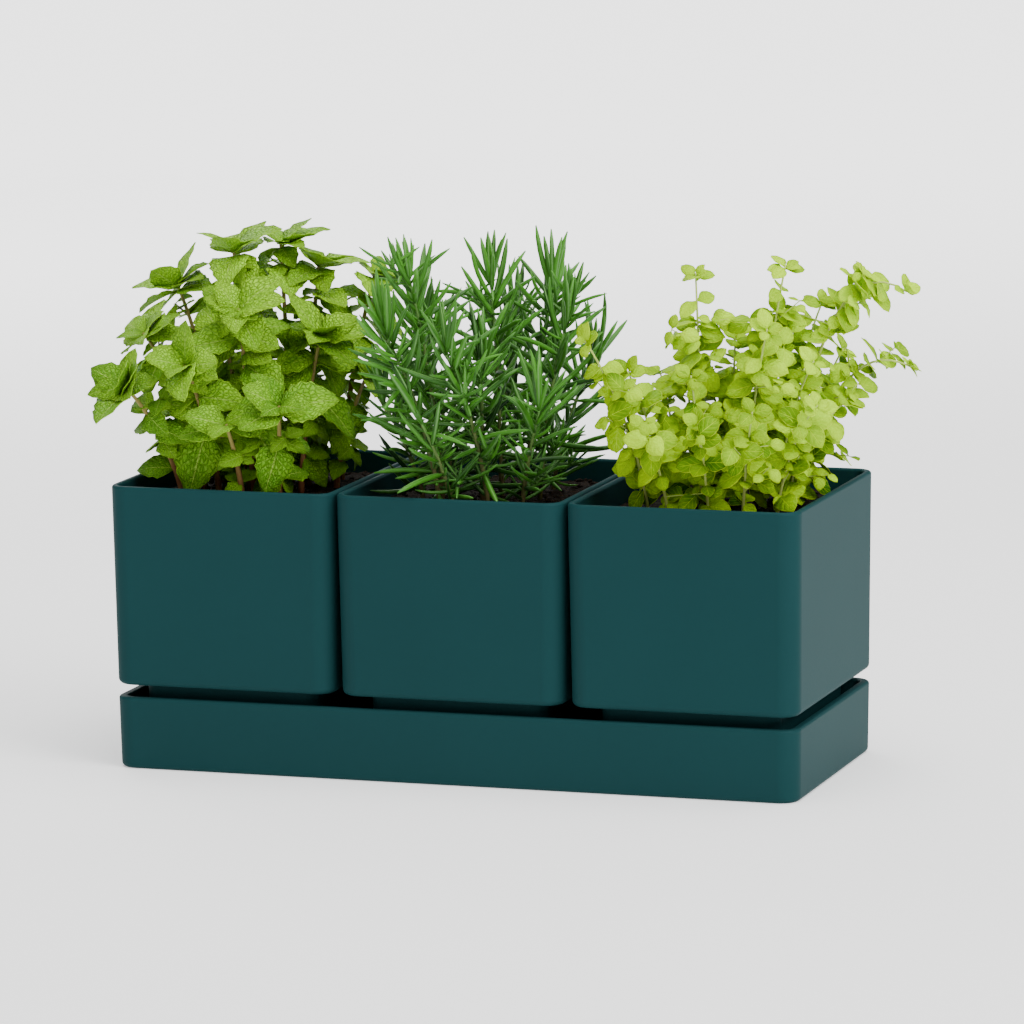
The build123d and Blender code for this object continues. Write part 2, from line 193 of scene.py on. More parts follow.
def makeStudio():
    world = bpy.context.scene.world or bpy.data.worlds.new("studio")
    bpy.context.scene.world = world
    world.use_nodes = True
    background = world.node_tree.nodes["Background"]
    background.inputs["Color"].default_value = (*studio["skyColour"], 1.0)
    background.inputs["Strength"].default_value = studio["skyStrength"]
    bm = bmesh.new()
    bmesh.ops.create_grid(bm, x_segments=1, y_segments=1, size=studio["floorSize"] / 2)
    floor = meshObject("floor", bm)
    finish = Finish("floorPaint")
    place = finish.node("ShaderNodeTexCoord", output=3)
    reach = finish.node("ShaderNodeVectorMath", {"operation": "LENGTH"}, {0: place}, output=1)
    away = reach.between(studio["glowFrom"], studio["glowTo"])
    glow = finish.mix(away, studio["glowNear"], studio["glowFar"])
    floor.data.materials.append(finish.set(
        Base_Color=studio["floorColour"],
        Roughness=studio["floorRoughness"],
        Emission_Color=glow,
        Emission_Strength=studio["glowStrength"],
    ))
    aim = (cadLow + cadHigh) / 2
    for name, sizes in lights.items():
        data = bpy.data.lights.new(name, sizes["kind"])
        setattr(data, "size" if sizes["kind"] == "AREA" else "angle", sizes["size"])
        data.energy = sizes["power"]
        made = bpy.data.objects.new(name, data)
        made.location = sizes["place"]
        made.rotation_euler = (aim - made.location).to_track_quat("-Z", "Y").to_euler()
        bpy.context.scene.collection.objects.link(made)


def meshObject(name, bm):
    mesh = bpy.data.meshes.new(name)
    bm.to_mesh(mesh)
    bm.free()
    made = bpy.data.objects.new(name, mesh)
    bpy.context.scene.collection.objects.link(made)
    return made


# Finishes. A noise is given by its scale and its detail
plasticLook = {
    "dark": (0.0070, 0.0355, 0.0375),
    "light": (0.0088, 0.0425, 0.0450),
    "cloud": (9.0, 3.0),
    "grain": (1400.0, 2.0),
    "grainRoughness": 0.08,
    "grainStrength": 0.10,
    "grainDepth": 0.0002,
    "roughness": 0.46,
    "sheen": 0.035,
}
soilLook = {
    "dark": (0.003, 0.002, 0.0015),
    "light": (0.016, 0.010, 0.006),
    "speck": (0.085, 0.048, 0.024),
    "clods": (260.0, 4.0),
    "specks": (1100.0, 2.0),
    "speckRange": (0.60, 0.72),
    "speckHeight": 0.6,
    "strength": 0.8,
    "relief": 0.0012,
    "roughness": 0.95,
    "sheen": 0.1,
}
mintLook = {
    "dark": (0.055, 0.205, 0.002),
    "light": (0.300, 0.610, 0.012),
    # painted shade: colour laid in the grooves between the quilted cells, where shade falls
    "grooveShadeColour": (0.075, 0.250, 0.003),
    "rib": (0.36, 0.58, 0.08),
    "edge": (0.30, 0.56, 0.02),
    "edgeWidth": 0.05,
    "ribWidth": 0.05,
    "veins": 7.0,
    "slant": 0.30,
    "veinDepth": 0.35,
    "cells": 11.0,
    "cellDepth": 0.85,
    "relief": 0.0014,
    "roughness": 0.48,
    "sheen": 0.16,
    "stemLow": (0.22, 0.070, 0.030),
    "stemHigh": (0.26, 0.24, 0.060),
}
rosemaryLook = {
    "dark": (0.002, 0.026, 0.001),
    "light": (0.066, 0.262, 0.016),
    # painted shade: colour laid in the grooves between the quilted cells, where shade falls
    "grooveShadeColour": (0.010, 0.070, 0.005),
    "rib": (0.15, 0.34, 0.08),
    "edge": (0.14, 0.30, 0.09),
    "edgeWidth": 0.25,
    "ribWidth": 0.14,
    "veins": 0.0,
    "slant": 0.0,
    "veinDepth": 0.0,
    "cells": 4.0,
    "cellDepth": 0.10,
    "relief": 0.0004,
    "roughness": 0.38,
    "sheen": 0.30,
    "stemLow": (0.11, 0.075, 0.030),
    "stemHigh": (0.10, 0.24, 0.05),
}
oreganoLook = {
    "dark": (0.030, 0.130, 0.000),
    "light": (0.480, 0.800, 0.000),
    # painted shade: colour laid in the grooves between the quilted cells, where shade falls
    "grooveShadeColour": (0.110, 0.290, 0.000),
    "rib": (0.46, 0.68, 0.01),
    "edge": (0.58, 0.76, 0.03),
    "edgeWidth": 0.07,
    "ribWidth": 0.05,
    "veins": 4.5,
    "slant": 0.42,
    "veinDepth": 0.35,
    "cells": 7.0,
    "cellDepth": 0.25,
    "relief": 0.0007,
    "roughness": 0.50,
    "sheen": 0.05,
    "stemLow": (0.30, 0.34, 0.08),
    "stemHigh": (0.42, 0.55, 0.10),
}
# what all three herbs share
leafPaint = {
    "mottle": (70.0, 3.0),
    "mottleRange": (0.3, 0.7),
    "mottleShare": 0.3,
    "mottleRoughness": 0.12,
    "ribCore": 0.4,
    "ribShare": 0.75,
    "ribHeight": 0.4,
    "cellEdge": 0.22,
    # how much of the painted shade goes into the grooves between cells
    "grooveShadeShare": 0.55,
    "veinEdge": 0.35,
    "veinFade": 0.5,
    "edgeShare": 0.7,
    "strength": 0.8,
}
stemPaint = {
    "grain": (420.0, 3.0),
    "grainRange": (0.45, 0.8),
    "grainShare": 0.4,
    "strength": 0.3,
    "relief": 0.0004,
    "roughness": 0.6,
    "sheen": 0.2,
}


def planterPlastic(look):
    finish = Finish("planterPlastic")
    grain = finish.noise(*look["grain"])
    return finish.set(
        Base_Color=finish.mix(finish.noise(*look["cloud"]), look["dark"], look["light"]),
        Roughness=look["roughness"] + look["grainRoughness"] * grain,
        Normal=finish.bump(grain, look["grainStrength"], look["grainDepth"]),
        Specular_IOR_Level=look["sheen"],
    )


def pottingSoil(look):
    finish = Finish("pottingSoil")
    clods = finish.noise(*look["clods"])
    specks = finish.noise(*look["specks"])
    dark = finish.mix(clods, look["dark"], look["light"])
    return finish.set(
        Base_Color=finish.mix(specks.between(*look["speckRange"]), dark, look["speck"]),
        Roughness=look["roughness"],
        Normal=finish.bump(clods + specks * look["speckHeight"], look["strength"], look["relief"]),
        Specular_IOR_Level=look["sheen"],
    )


def leafSkin(name, look):
    # u runs across the leaf and v along it; tone differs from leaf to leaf
    finish = Finish(name)
    uv = finish.node("ShaderNodeUVMap", {"uv_map": "leaf"})
    across = finish.node("ShaderNodeSeparateXYZ", None, {0: uv}, output=0)
    along = finish.node("ShaderNodeSeparateXYZ", None, {0: uv}, output=1)
    tone = finish.node("ShaderNodeAttribute", {"attribute_name": "tone"}, output=2)
    fromRib = abs(across - 0.5) * 2.0
    step = (along - fromRib * look["slant"]) * look["veins"]
    wave = finish.node("ShaderNodeMath", {"operation": "PINGPONG"}, {0: step, 1: 0.5}) * 2.0
    middle = 1.0 - fromRib.between(look["ribWidth"] * leafPaint["ribCore"], look["ribWidth"])
    cells = {"voronoi_dimensions": "2D", "feature": "DISTANCE_TO_EDGE"}
    toGroove = finish.node("ShaderNodeTexVoronoi", cells, {"Vector": uv, "Scale": look["cells"]})
    puffed = toGroove.between(0.0, leafPaint["cellEdge"])
    mottle = finish.noise(*leafPaint["mottle"])
    lightness = tone + mottle.between(*leafPaint["mottleRange"]) * leafPaint["mottleShare"]
    body = finish.mix(lightness, look["dark"], look["light"])
    # painted shade: the grooves between the puffed cells are darkened in colour, as shade in the
    # creases
    paintedGrooveShade = (1.0 - puffed) * look["cellDepth"] * leafPaint["grooveShadeShare"]
    colour = finish.mix(paintedGrooveShade, body, look["grooveShadeColour"])
    veins = (1.0 - wave.between(0.0, leafPaint["veinEdge"])) * (1.0 - fromRib * leafPaint["veinFade"])
    colour = finish.mix(veins * look["veinDepth"], colour, look["rib"])
    colour = finish.mix(middle * leafPaint["ribShare"], colour, look["rib"])
    edge = fromRib.between(1.0 - look["edgeWidth"], 1.0) * leafPaint["edgeShare"]
    colour = finish.mix(edge, colour, look["edge"])
    height = wave * look["veinDepth"] + puffed * look["cellDepth"] - middle * leafPaint["ribHeight"]
    return finish.set(
        Base_Color=colour,
        Roughness=look["roughness"] + leafPaint["mottleRoughness"] * mottle,
        Normal=finish.bump(height, leafPaint["strength"], look["relief"]),
        Specular_IOR_Level=look["sheen"],
    )


def stemSkin(name, look):
    # the stem's colour changes from the soil up
    finish = Finish(name)
    tone = finish.node("ShaderNodeAttribute", {"attribute_name": "tone"}, output=2)
    grain = finish.noise(*stemPaint["grain"])
    colour = finish.mix(tone, look["stemLow"], look["stemHigh"])
    streaks = grain.between(*stemPaint["grainRange"]) * stemPaint["grainShare"]
    colour = finish.mix(streaks, colour, look["stemHigh"])
    return finish.set(
        Base_Color=colour,
        Roughness=stemPaint["roughness"],
        Normal=finish.bump(grain, stemPaint["strength"], stemPaint["relief"]),
        Specular_IOR_Level=stemPaint["sheen"],
    )


# Soil
soilSizes = {
    "cornerRadius": 0.0061,
    "rise": 0.003,
    "slope": 0.012,
    "roughness": 0.0016,
    "gridAcross": 64,
    "gridBack": 80,
    "lumpScale": 90.0,
    "lumpFall": 1.0,
    "lumpSpacing": 2.1,
    "lumpLayers": 4,
    "crumbCount": 420,
    "crumbReach": 0.96,
    "crumbSizes": (0.0006, 0.0022),
    "crumbShares": (0.4, 1.0),
    "crumbStretches": ((0.6, 1.6), (0.6, 1.3), (0.4, 0.9)),
    "crumbLift": 0.2,
    "ledgeDrop": 0.0875,
    "footInset": 0.0125,
}


def soilHeight(x, y, half, top):
    edge = min(half.x - abs(x), half.y - abs(y))
    mound = min(1.0, edge / soilSizes["slope"])
    lumps = noise.fractal(
        Vector((x, y, top)) * soilSizes["lumpScale"],
        soilSizes["lumpFall"],
        soilSizes["lumpSpacing"],
        soilSizes["lumpLayers"],
    )
    return top - soilSizes["rise"] * (1 - mound) + soilSizes["roughness"] * (lumps - 0.5)


def addCrumbs(bm, side, centre, half, top):
    numbers = random.Random(side)
    reach = soilSizes["crumbReach"]
    for _ in range(soilSizes["crumbCount"]):
        x = within(numbers, reach) * half.x
        y = within(numbers, reach) * half.y
        size = numbers.uniform(*soilSizes["crumbSizes"]) * numbers.uniform(*soilSizes["crumbShares"])
        crumb = bmesh.ops.create_icosphere(bm, subdivisions=1, radius=size)
        stretches = [numbers.uniform(*limits) for limits in soilSizes["crumbStretches"]]
        turn = Matrix.Rotation(numbers.uniform(0, math.tau), 4, "Z")
        height = soilHeight(x, y, half, top) + size * soilSizes["crumbLift"]
        place = Matrix.Translation((centre.x + x, centre.y + y, height))
        fit = place @ turn @ Matrix.Diagonal((*stretches, 1))
        bmesh.ops.transform(bm, matrix=fit, verts=crumb["verts"])


def makeSoil(side, material):
    low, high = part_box("soil_" + side)
    centre = (low + high) / 2
    half = (high - low) / 2
    bm = bmesh.new()
    bmesh.ops.create_grid(
        bm, x_segments=soilSizes["gridAcross"], y_segments=soilSizes["gridBack"], size=1.0
    )
    for vert in bm.verts:
        x, y = roundedPlace(vert.co.x * half.x, vert.co.y * half.y, half)
        vert.co = (centre.x + x, centre.y + y, soilHeight(x, y, half, high.z))
    wall = extrudeEdges(bm, rimOf(bm.edges))
    flatten(wall, high.z - soilSizes["ledgeDrop"])
    ledge = extrudeEdges(bm, rimOf(wall))
    shrinkTo(ledge, centre, half, soilSizes["footInset"])
    foot = extrudeEdges(bm, rimOf(ledge))
    flatten(foot, low.z)
    bmesh.ops.contextual_create(bm, geom=rimOf(foot))
    addCrumbs(bm, side, centre, half, high.z)
    bmesh.ops.recalc_face_normals(bm, faces=bm.faces[:])
    soil = meshObject("soil_bed_" + side, bm)
    soil.data.materials.append(material)
    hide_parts("soil_" + side)
    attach(soil, "pot_" + side)


def within(numbers, spread):
    return numbers.uniform(-spread, spread)


def roundedPlace(x, y, half):
    radius = soilSizes["cornerRadius"]
    over = Vector((abs(x) - half.x + radius, abs(y) - half.y + radius))
    if over.x <= 0 or over.y <= 0:
        return x, y
    over *= max(over.x, over.y) / over.length
    return math.copysign(half.x - radius + over.x, x), math.copysign(half.y - radius + over.y, y)


def extrudeEdges(bm, edges):
    made = bmesh.ops.extrude_edge_only(bm, edges=edges)
    return [part for part in made["geom"] if isinstance(part, (bmesh.types.BMVert, bmesh.types.BMEdge))]


def rimOf(parts):
    return [part for part in parts if isinstance(part, bmesh.types.BMEdge) and part.is_boundary]


def vertsOf(parts):
    return [part for part in parts if isinstance(part, bmesh.types.BMVert)]


def flatten(parts, height):
    for vert in vertsOf(parts):
        vert.co.z = height


def shrinkTo(parts, centre, half, inset):
    for vert in vertsOf(parts):
        vert.co.x = centre.x + (vert.co.x - centre.x) * (half.x - inset) / half.x
        vert.co.y = centre.y + (vert.co.y - centre.y) * (half.y - inset) / half.y


# Growing room: the pots' sizes, from the frame, and the clearances between plants
potLow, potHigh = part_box("pot_middle")
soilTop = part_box("soil_middle")[1].z
potWidth = potHigh.x - potLow.x
potDepth = potHigh.y - potLow.y
rimTop = potHigh.z
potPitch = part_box("pot_right")[0].x - potLow.x
growingRoom = {
    "wall": 0.0036,
    "draft": 0.0011,
    "slope": 0.010,
    "wateringStrip": 0.010,
    "leafClearance": 0.0003,
    "slabClearance": 0.001,
    "stemSteps": 5,
    "stemSpread": 0.3,
    "leastCross": 0.05,
    "shorter": (1.0, 0.85, 0.7, 0.55),
}
baseWidth = potWidth - 2 * growingRoom["draft"]
baseDepth = potDepth - 2 * growingRoom["draft"]

# How leaves and shoots turn round the stem: leaves and tips in degrees, shoots in radians
growth = {
    "leafTurn": 14,
    "leafLengths": (0.85, 1.12),
    "forkTurn": 20,
    "tipStep": 0.382,
    "tipTurn": 15,
    "tipTilt": 0.2,
    "tipShare": 0.985,
    "shootStep": 2.4,
    "shootTurn": 0.5,
    "shootLeafTurn": 0.4,
    "shootAside": (0.1, 0.2, 1.0),
}

# Herbs. Each stem: root across, root back, tip across, tip back, tip height, height of the bend
mint = {
    "name": "mint",
    "pot": 0,
    "seed": 11,
    "height": 0.114,
    "stemWidth": 0.0034,
    "stemTipWidth": 0.0016,
    "stems": (
        (-0.62, -0.20, -1.02, -0.22, 0.62, 0.66),
        (-0.60, 0.22, -0.92, 0.24, 0.80, 0.62),
        (-0.18, 0.16, -0.40, 0.24, 0.97, 0.60),
        (0.05, -0.42, -0.06, -0.40, 0.76, 0.60),
        (0.12, 0.44, -0.06, 0.44, 1.00, 0.60),
        (0.38, 0.30, 0.28, 0.46, 0.90, 0.60),
        (0.62, 0.66, 0.68, 0.72, 0.84, 0.60),
        (0.48, -0.12, 0.50, 0.00, 0.62, 0.60),
        (-0.28, -0.58, -0.44, -0.64, 0.52, 0.60),
        (0.46, -0.62, 0.44, -0.72, 0.36, 0.55),
        (-0.68, -0.66, -0.94, -0.72, 0.42, 0.60),
        (0.76, 0.20, 0.78, 0.30, 0.42, 0.55),
        (0.10, -0.80, 0.02, -0.84, 0.28, 0.55),
        (-0.62, 0.60, -0.80, 0.66, 0.54, 0.60),
        (-0.10, -0.20, -0.30, -0.20, 0.62, 0.60),
    ),
    "leafLength": 0.033,
    "nodesPerHeight": 7.6,
    "leavesPerNode": 2,
    "turnDegrees": 90,
    "climb": 0,
    "firstLeaf": 0.20,
    "lastLeaf": 0.97,
    "lengths": (0.80, 1.05, 0.85),
    "lifts": (-15, -5, 32),
    "liftSpread": 14,
    "outward": 1.0,
    "hang": 0.60,
    "facing": (0.10, -0.45),
    "turned": 0.40,
    "droop": 0.18,
    "leafWidth": 0.74,
    "toneSpread": 0.22,
    "outline": ((0.32, 0.95), (0.60, 0.86)),
    "section": ((1.0, 0.08), (-1.0, 0.08), (0.0, -0.10)),
}
rosemary = {
    "name": "rosemary",
    "pot": 1,
    "seed": 23,
    "height": 0.118,
    "stemWidth": 0.0026,
    "stemTipWidth": 0.0013,
    "stems": (
        (-0.36, -0.44, -0.54, -0.42, 0.89, 0.60),
        (-0.30, -0.66, -0.66, -0.64, 0.66, 0.60),
        (0.22, -0.56, -0.10, -0.72, 0.60, 0.60),
        (0.12, 0.08, -0.04, 0.12, 0.83, 0.60),
        (0.30, 0.32, 0.42, 0.36, 0.79, 0.60),
        (0.52, 0.56, 0.62, 0.74, 0.46, 0.55),
        (0.56, 0.08, 0.62, 0.12, 0.66, 0.60),
        (-0.08, 0.52, -0.10, 0.74, 0.58, 0.60),
        (-0.48, 0.20, -0.74, 0.28, 0.56, 0.60),
        (-0.66, -0.28, -0.84, -0.30, 0.34, 0.50),
        (0.04, -0.30, 0.06, -0.34, 0.52, 0.60),
        (0.56, -0.44, 0.66, -0.56, 0.36, 0.50),
        (-0.10, -0.78, -0.30, -0.84, 0.34, 0.50),
    ),
    "leafLength": 0.031,
    "nodesPerHeight": 9.0,
    "leavesPerNode": 4,
    "turnDegrees": 47,
    "climb": 1,
    "firstLeaf": 0.06,
    "lastLeaf": 0.985,
    "lengths": (0.90, 1.10, 0.95),
    "lifts": (-4, 34, 58),
    "liftSpread": 18,
    "outward": 0.2,
    "hang": 0.0,
    "facing": (0.0, -0.15),
    "turned": 0.3,
    "droop": -0.10,
    "leafWidth": 0.105,
    "toneSpread": 0.34,
    "outline": ((0.50, 1.0),),
    "section": ((1.0, 0.25), (-1.0, 0.25), (0.0, -0.75)),
}
oregano = {
    "name": "oregano",
    "pot": 2,
    "seed": 37,
    "height": 0.114,
    "stemWidth": 0.0018,
    "stemTipWidth": 0.0009,
    "stems": (
        (-0.14, -0.14, -0.14, -0.20, 0.96, 0.60),
        (0.42, 0.04, 0.56, 0.02, 0.99, 0.60),
        (0.68, 0.34, 1.50, 0.32, 0.86, 1.26),
        (0.78, 0.60, 1.44, 0.62, 0.50, 1.30),
        (-0.58, -0.60, -0.88, -0.78, 0.70, 0.60),
        (-0.40, -0.52, -0.56, -0.66, 0.56, 0.60),
        (0.12, 0.06, 0.12, 0.02, 0.66, 0.60),
        (0.40, -0.30, 0.54, -0.38, 0.74, 0.60),
        (0.56, 0.30, 0.76, 0.34, 0.80, 0.60),
        (0.80, 0.06, 1.06, 0.12, 0.40, 0.70),
        (-0.30, -0.76, -0.36, -0.84, 0.34, 0.55),
        (0.14, -0.72, 0.12, -0.86, 0.36, 0.55),
        (0.52, -0.70, 0.58, -0.86, 0.42, 0.55),
        (0.78, -0.34, 1.00, -0.48, 0.42, 0.70),
        (0.62, 0.68, 0.80, 0.76, 0.56, 0.60),
        (-0.56, 0.34, -0.70, 0.44, 0.46, 0.60),
        (-0.34, 0.14, -0.40, 0.22, 0.64, 0.60),
        (-0.02, -0.48, -0.06, -0.54, 0.54, 0.60),
        (0.30, 0.42, 0.36, 0.48, 0.68, 0.60),
        (0.00, 0.46, -0.06, 0.58, 0.52, 0.60),
        (0.66, -0.06, 0.84, -0.10, 0.58, 0.65),
    ),
    "leafLength": 0.017,
    "nodesPerHeight": 8.6,
    "leavesPerNode": 2,
    "turnDegrees": 90,
    "climb": 0,
    "firstLeaf": 0.14,
    "lastLeaf": 0.98,
    "lengths": (0.95, 1.05, 0.60),
    "lifts": (-5, 5, 25),
    "liftSpread": 16,
    "outward": 1.1,
    "hang": 0.45,
    "facing": (0.15, -0.60),
    "turned": 0.6,
    "droop": 0.06,
    "leafWidth": 0.72,
    "toneSpread": 0.38,
    "outline": ((0.38, 1.0), (0.70, 0.80)),
    "section": ((1.0, 0.08), (-1.0, 0.08), (0.0, -0.16)),
}

# Young growth of each herb: leaves in the forks and at the tip, and thin side shoots
mint["young"] = {
    "forksPerHeight": 9.0,
    "first": 0.22,
    "last": 0.97,
    "perFork": 2,
    "lifts": (-10, 40),
    "lengths": (0.35, 0.80),
    "atTip": 6,
    "tipLifts": (40, 80),
    "tipLengths": (0.45, 0.90),
    "shootsPerHeight": 3.0,
    "shootLengths": (0.006, 0.012),
    "shootLifts": (15, 60),
    "shootWidth": 0.0014,
    "shootJoints": (0.6, 1.0),
    "shootLeaves": (0.30, 0.50),
}
rosemary["young"] = {
    "forksPerHeight": 22.0,
    "first": 0.05,
    "last": 0.97,
    "perFork": 2,
    "lifts": (5, 60),
    "lengths": (0.50, 1.12),
    "atTip": 7,
    "tipLifts": (62, 88),
    "tipLengths": (0.75, 1.15),
    "shootsPerHeight": 6.0,
    "shootLengths": (0.008, 0.020),
    "shootLifts": (30, 65),
    "shootWidth": 0.0012,
    "shootJoints": (0.3, 0.5, 0.7, 0.85, 1.0),
    "shootLeaves": (0.35, 0.70),
}
oregano["young"] = {
    "forksPerHeight": 10.0,
    "first": 0.12,
    "last": 0.76,
    "perFork": 3,
    "lifts": (-20, 50),
    "lengths": (0.45, 1.00),
    "atTip": 4,
    "tipLifts": (10, 60),
    "tipLengths": (0.35, 0.70),
    "shootsPerHeight": 9.0,
    "shootLengths": (0.010, 0.024),
    "shootLifts": (0, 60),
    "shootWidth": 0.0008,
    "shootJoints": (0.45, 0.75, 1.0),
    "shootLeaves": (0.35, 0.85),
}


# One leaf or stem step as the corners of a convex clump, and the directions that shape it
class Clump:
    def __init__(self, corners, directions):
        self.corners = numpy.array(corners)
        self.directions = numpy.array(directions)
        self.low = self.corners.min(axis=0)
        self.high = self.corners.max(axis=0)


def unit(vector):
    return vector / numpy.linalg.norm(vector)


def blend(three, share):
    return three[0] * (1 - share) ** 2 + 2 * three[1] * share * (1 - share) + three[2] * share**2


def stemRoot(stem):
    halfWidth = baseWidth / 2 - growingRoom["wall"] - growingRoom["slope"]
    strip = growingRoom["wateringStrip"] / 2
    halfDepth = baseDepth / 2 - growingRoom["wall"] - growingRoom["slope"] - strip
    return numpy.array((stem[0] * halfWidth, stem[1] * halfDepth - strip, soilTop))


def stemCurve(herb, stem, share):
    root = stemRoot(stem)
    tipHeight = rimTop + stem[4] * herb["height"]
    tip = numpy.array((stem[2] * potWidth / 2, stem[3] * potDepth / 2, tipHeight))
    spread = growingRoom["stemSpread"]
    bend = root + numpy.array((spread, spread, stem[5])) * (tip - root)
    return (1 - share) ** 2 * root + 2 * share * (1 - share) * bend + share**2 * tip


def stemPoint(herb, stem, share):
    steps = growingRoom["stemSteps"]
    step = min(int(share * steps), steps - 1)
    low = stemCurve(herb, stem, step / steps)
    high = stemCurve(herb, stem, (step + 1) / steps)
    return low + (high - low) * (share * steps - step)


def standsClear(first, second):
    room = growingRoom["leafClearance"]
    crossed = numpy.cross(first.directions[:, None, :], second.directions[None, :, :]).reshape(-1, 3)
    lengths = numpy.linalg.norm(crossed, axis=1)
    askew = lengths > growingRoom["leastCross"]
    crossed = crossed[askew] / lengths[askew, None]
    trials = numpy.vstack((first.directions, second.directions, crossed))
    one = first.corners @ trials.T
    two = second.corners @ trials.T
    gaps = numpy.maximum(one.min(axis=0) - two.max(axis=0), two.min(axis=0) - one.max(axis=0))
    return gaps.max() > room


def barClump(low, high, half, side, face, along):
    # a straight square bar from low to high
    around = ((1, 1), (-1, 1), (-1, -1), (1, -1))
    corners = [end + half * (a * side + b * face) for end in (low, high) for a, b in around]
    return Clump(corners, [side, face, along])


def stemClumps(herb, stem):
    steps = growingRoom["stemSteps"]
    points = [stemCurve(herb, stem, step / steps) for step in range(steps + 1)]
    lean = points[-1] - points[0]
    side = unit(numpy.cross((0, 0, 1), (lean[0], lean[1], 0)))
    clumps = []
    for low, high in zip(points[:-1], points[1:]):
        along = unit(high - low)
        face = unit(numpy.cross(along, side))
        clumps.append(barClump(low, high, herb["stemWidth"] / 2, side, face, along))
    return clumps


def leafAxes(heading, lift, face):
    ahead = numpy.array((math.cos(heading), math.sin(heading), 0))
    level = unit(ahead - numpy.dot(ahead, face) * face)
    along = level * math.cos(lift) + face * math.sin(lift)
    side = unit(numpy.cross(along, face))
    return along, side, numpy.cross(side, along)


def leafClump(herb, base, axes, length):
    along, side, face = axes
    droop = herb["droop"] * length
    corners = [base]
    for share, width in herb["outline"]:
        centre = base + along * length * share - face * droop * share**2
        half = herb["leafWidth"] * length * width / 2
        corners += [centre + half * (a * side + b * face) for a, b in herb["section"]]
    corners.append(base + along * length - face * droop)
    return Clump(corners, [along, side, face])


def fitsPot(clump, index):
    limit = potPitch / 2 - growingRoom["slabClearance"]
    room = growingRoom["leafClearance"]
    if index > 0 and clump.low[0] < -limit:
        return False
    if index < len(potSides) - 1 and clump.high[0] > limit:
        return False
    if clump.low[2] < soilTop + room:
        return False
    if clump.low[2] > rimTop + room:
        return True
    halfWidth = baseWidth / 2 - growingRoom["wall"] - room
    halfDepth = baseDepth / 2 - growingRoom["wall"] - room
    backLimit = halfDepth - growingRoom["wateringStrip"]
    inWidth = -halfWidth < clump.low[0] and clump.high[0] < halfWidth
    inDepth = -halfDepth < clump.low[1] and clump.high[1] < backLimit
    return inWidth and inDepth


def leafPlace(herb, base, heading, lift, length, tilts):
    ownWay = numpy.array((math.cos(heading), math.sin(heading)))
    tilt = base[:2] / (potDepth / 2) * herb["outward"] + ownWay * herb["hang"] + herb["facing"] + tilts
    face = unit(numpy.array((tilt[0], tilt[1], 1)))
    return base, leafAxes(heading, lift, face), length


def leafPlaces(herb, stem, numbers):
    count = max(2, round(herb["nodesPerHeight"] * stem[4]))
    start = numbers.uniform(0, 360)
    places = []
    for node in range(count):
        for leaf in range(herb["leavesPerNode"]):
            step = (node + herb["climb"] * leaf / herb["leavesPerNode"]) / (count - 1 + herb["climb"])
            share = herb["firstLeaf"] + (herb["lastLeaf"] - herb["firstLeaf"]) * step
            turn = start + herb["turnDegrees"] * node + 360 * leaf / herb["leavesPerNode"]
            heading = math.radians(turn + within(numbers, growth["leafTurn"]))
            lift = math.radians(blend(herb["lifts"], step) + within(numbers, herb["liftSpread"]))
            tilts = [within(numbers, herb["turned"]) for _ in range(2)]
            length = herb["leafLength"] * blend(herb["lengths"], step)
            length *= numbers.uniform(*growth["leafLengths"])
            places.append(leafPlace(herb, stemPoint(herb, stem, share), heading, lift, length, tilts))
    return places


def youngPlaces(herb, stem, numbers):
    # small leaves in the forks of the older ones and round the growing tip
    young = herb["young"]
    count = max(2, round(young["forksPerHeight"] * stem[4]))
    places = []
    for fork in range(count):
        share = young["first"] + (young["last"] - young["first"]) * fork / (count - 1)
        point = stemPoint(herb, stem, share)
        start = numbers.uniform(0, 360)
        for leaf in range(young["perFork"]):
            turn = start + 360 * leaf / young["perFork"]
            heading = math.radians(turn + within(numbers, growth["forkTurn"]))
            lift = math.radians(numbers.uniform(*young["lifts"]))
            tilts = [within(numbers, herb["turned"]) for _ in range(2)]
            length = herb["leafLength"] * numbers.uniform(*young["lengths"])
            places.append(leafPlace(herb, point, heading, lift, length, tilts))
    point = stemPoint(herb, stem, growth["tipShare"])
    for leaf in range(young["atTip"]):
        turn = 360 * leaf * growth["tipStep"]
        heading = math.radians(turn + within(numbers, growth["tipTurn"]))
        lift = math.radians(numbers.uniform(*young["tipLifts"]))
        tilts = [within(numbers, growth["tipTilt"]) for _ in range(2)]
        length = herb["leafLength"] * numbers.uniform(*young["tipLengths"])
        places.append(leafPlace(herb, point, heading, lift, length, tilts))
    return places


def shootPlaces(herb, stem, numbers):
    # thin side shoots: where each starts and ends, with its pairs of small leaves
    young = herb["young"]
    count = round(young["shootsPerHeight"] * stem[4])
    span = young["last"] - young["first"]
    shoots = []
    for shoot in range(count):
        start = stemPoint(herb, stem, young["first"] + span * (shoot + numbers.random()) / count)
        heading = growth["shootStep"] * shoot + within(numbers, growth["shootTurn"])
        lift = math.radians(numbers.uniform(*young["shootLifts"]))
        level = math.cos(lift)
        ahead = numpy.array((math.cos(heading) * level, math.sin(heading) * level, math.sin(lift)))
        way = ahead * numbers.uniform(*young["shootLengths"])
        places = []
        for joint, share in enumerate(young["shootJoints"]):
            for leaf in range(2):
                turn = heading + math.pi / 2 * joint + math.pi * leaf
                turn += within(numbers, growth["shootLeafTurn"])
                leafLift = math.radians(numbers.uniform(*young["lifts"]))
                tilts = [within(numbers, herb["turned"]) for _ in range(2)]
                length = herb["leafLength"] * numbers.uniform(*young["shootLeaves"])
                places.append(leafPlace(herb, start + way * share, turn, leafLift, length, tilts))
        shoots.append((start, start + way, places))
    return shoots


def shootClump(start, end, width):
    along = unit(end - start)
    side = unit(numpy.cross(along, growth["shootAside"]))
    return barClump(start, end, width / 2, side, numpy.cross(side, along), along)


